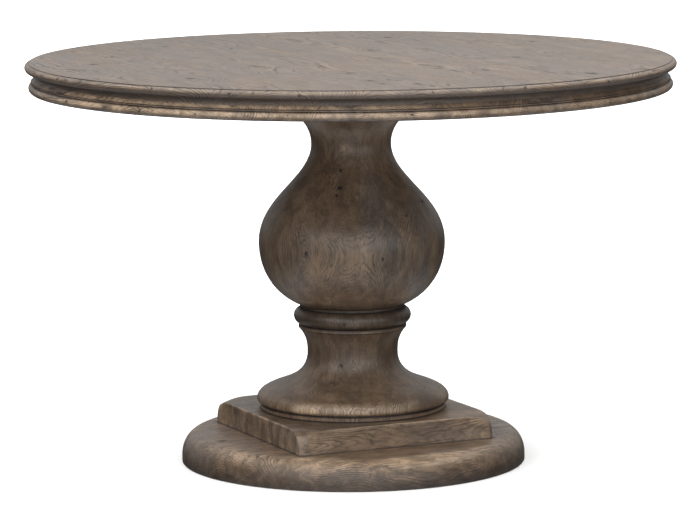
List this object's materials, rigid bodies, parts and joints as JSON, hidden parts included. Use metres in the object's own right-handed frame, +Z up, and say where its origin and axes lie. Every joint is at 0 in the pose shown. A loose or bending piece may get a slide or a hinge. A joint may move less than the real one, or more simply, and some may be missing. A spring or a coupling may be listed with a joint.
{
  "type": "round pedestal table",
  "caption": "Round oak dining table with a moulded edge, a turned baluster column, a square plinth and a round base on adjustable feet.",
  "frame": {"origin": "on the floor under the middle of the column (bottom centre of the whole table)", "axes": "+Z up along the column; the boards of the top run along Y, those of the plinth and base along X, so the plinth's faces look along +X, -X, +Y and -Y"},
  "size_m": [1.2192, 1.2192, 0.762],
  "materials": {
    "oak_top": "weathered grey-brown oak, matt oil",
    "oak_rim": "weathered oak moulding, matt oil, rubbed lighter on the beads",
    "oak_underframe": "sawn and planed oak, unstained",
    "oak_column": "turned oak, dark weathered brown, satin wax",
    "oak_base": "weathered brown oak, satin wax",
    "beech_dowel": "plain fluted beech",
    "screw_steel": "yellow passivated",
    "zinc_steel": "bright zinc plated",
    "nylon": "matt black nylon"
  },
  "bodies": {
    "table": {"top_board_1": "oak_top", "top_board_2": "oak_top", "top_board_3": "oak_top", "top_board_4": "oak_top", "top_board_5": "oak_top", "top_board_6": "oak_top", "top_board_7": "oak_top", "top_board_8": "oak_top", "rim_segment_1": "oak_rim", "rim_segment_2": "oak_rim", "rim_segment_3": "oak_rim", "rim_segment_4": "oak_rim", "rim_segment_5": "oak_rim", "rim_segment_6": "oak_rim", "rim_segment_7": "oak_rim", "rim_segment_8": "oak_rim", "front_batten": "oak_underframe", "rear_batten": "oak_underframe", "mounting_block": "oak_underframe", "head_plate": "oak_underframe", "upper_turning": "oak_column", "collar_ring": "oak_column", "lower_turning": "oak_column", "plinth_board_1": "oak_base", "plinth_board_2": "oak_base", "plinth_board_3": "oak_base", "plinth_board_4": "oak_base", "base_board_1": "oak_base", "base_board_2": "oak_base", "base_board_3": "oak_base", "base_board_4": "oak_base", "base_board_5": "oak_base", "head_dowels": "beech_dowel", "collar_dowels": "beech_dowel", "foot_dowels": "beech_dowel", "rim_screws": "screw_steel", "block_screws": "screw_steel", "base_screws": "screw_steel", "batten_screws": "screw_steel", "batten_washers": "screw_steel", "top_bolts": "zinc_steel", "top_bolt_washers": "zinc_steel", "threaded_inserts": "zinc_steel", "tie_rod": "zinc_steel", "tie_rod_washers": "zinc_steel", "tie_rod_nuts": "zinc_steel", "leveller_tee_nuts": "zinc_steel"},
    "leveller_pad_front_left": {"leveller_pad_front_left": "nylon"},
    "leveller_stem_front_left": {"leveller_stem_front_left": "zinc_steel"},
    "leveller_pad_front_right": {"leveller_pad_front_right": "nylon"},
    "leveller_stem_front_right": {"leveller_stem_front_right": "zinc_steel"},
    "leveller_pad_rear_left": {"leveller_pad_rear_left": "nylon"},
    "leveller_stem_rear_left": {"leveller_stem_rear_left": "zinc_steel"},
    "leveller_pad_rear_right": {"leveller_pad_rear_right": "nylon"},
    "leveller_stem_rear_right": {"leveller_stem_rear_right": "zinc_steel"}
  },
  "joints": [
    {"name": "leveller_extend_front_left", "type": "slide", "parent": "table", "child": "leveller_pad_front_left", "axis": [0, 0, -1], "range_m": [0, 0.01]},
    {"name": "leveller_turn_front_left", "type": "hinge", "parent": "leveller_pad_front_left", "child": "leveller_stem_front_left", "pos_m": [-0.18319, -0.21832, 0.02], "axis": [0, 0, -1], "range_deg": [0, 2880]},
    {"name": "leveller_extend_front_right", "type": "slide", "parent": "table", "child": "leveller_pad_front_right", "axis": [0, 0, -1], "range_m": [0, 0.01]},
    {"name": "leveller_turn_front_right", "type": "hinge", "parent": "leveller_pad_front_right", "child": "leveller_stem_front_right", "pos_m": [0.18319, -0.21832, 0.02], "axis": [0, 0, -1], "range_deg": [0, 2880]},
    {"name": "leveller_extend_rear_left", "type": "slide", "parent": "table", "child": "leveller_pad_rear_left", "axis": [0, 0, -1], "range_m": [0, 0.01]},
    {"name": "leveller_turn_rear_left", "type": "hinge", "parent": "leveller_pad_rear_left", "child": "leveller_stem_rear_left", "pos_m": [-0.18319, 0.21832, 0.02], "axis": [0, 0, -1], "range_deg": [0, 2880]},
    {"name": "leveller_extend_rear_right", "type": "slide", "parent": "table", "child": "leveller_pad_rear_right", "axis": [0, 0, -1], "range_m": [0, 0.01]},
    {"name": "leveller_turn_rear_right", "type": "hinge", "parent": "leveller_pad_rear_right", "child": "leveller_stem_rear_right", "pos_m": [0.18319, 0.21832, 0.02], "axis": [0, 0, -1], "range_deg": [0, 2880]}
  ],
  "couplings": [
    {"joint": "leveller_turn_front_left", "follows": "leveller_extend_front_left", "rad_per_m": 5026.5},
    {"joint": "leveller_turn_front_right", "follows": "leveller_extend_front_right", "rad_per_m": 5026.5},
    {"joint": "leveller_turn_rear_left", "follows": "leveller_extend_rear_left", "rad_per_m": 5026.5},
    {"joint": "leveller_turn_rear_right", "follows": "leveller_extend_rear_right", "rad_per_m": 5026.5}
  ]
}
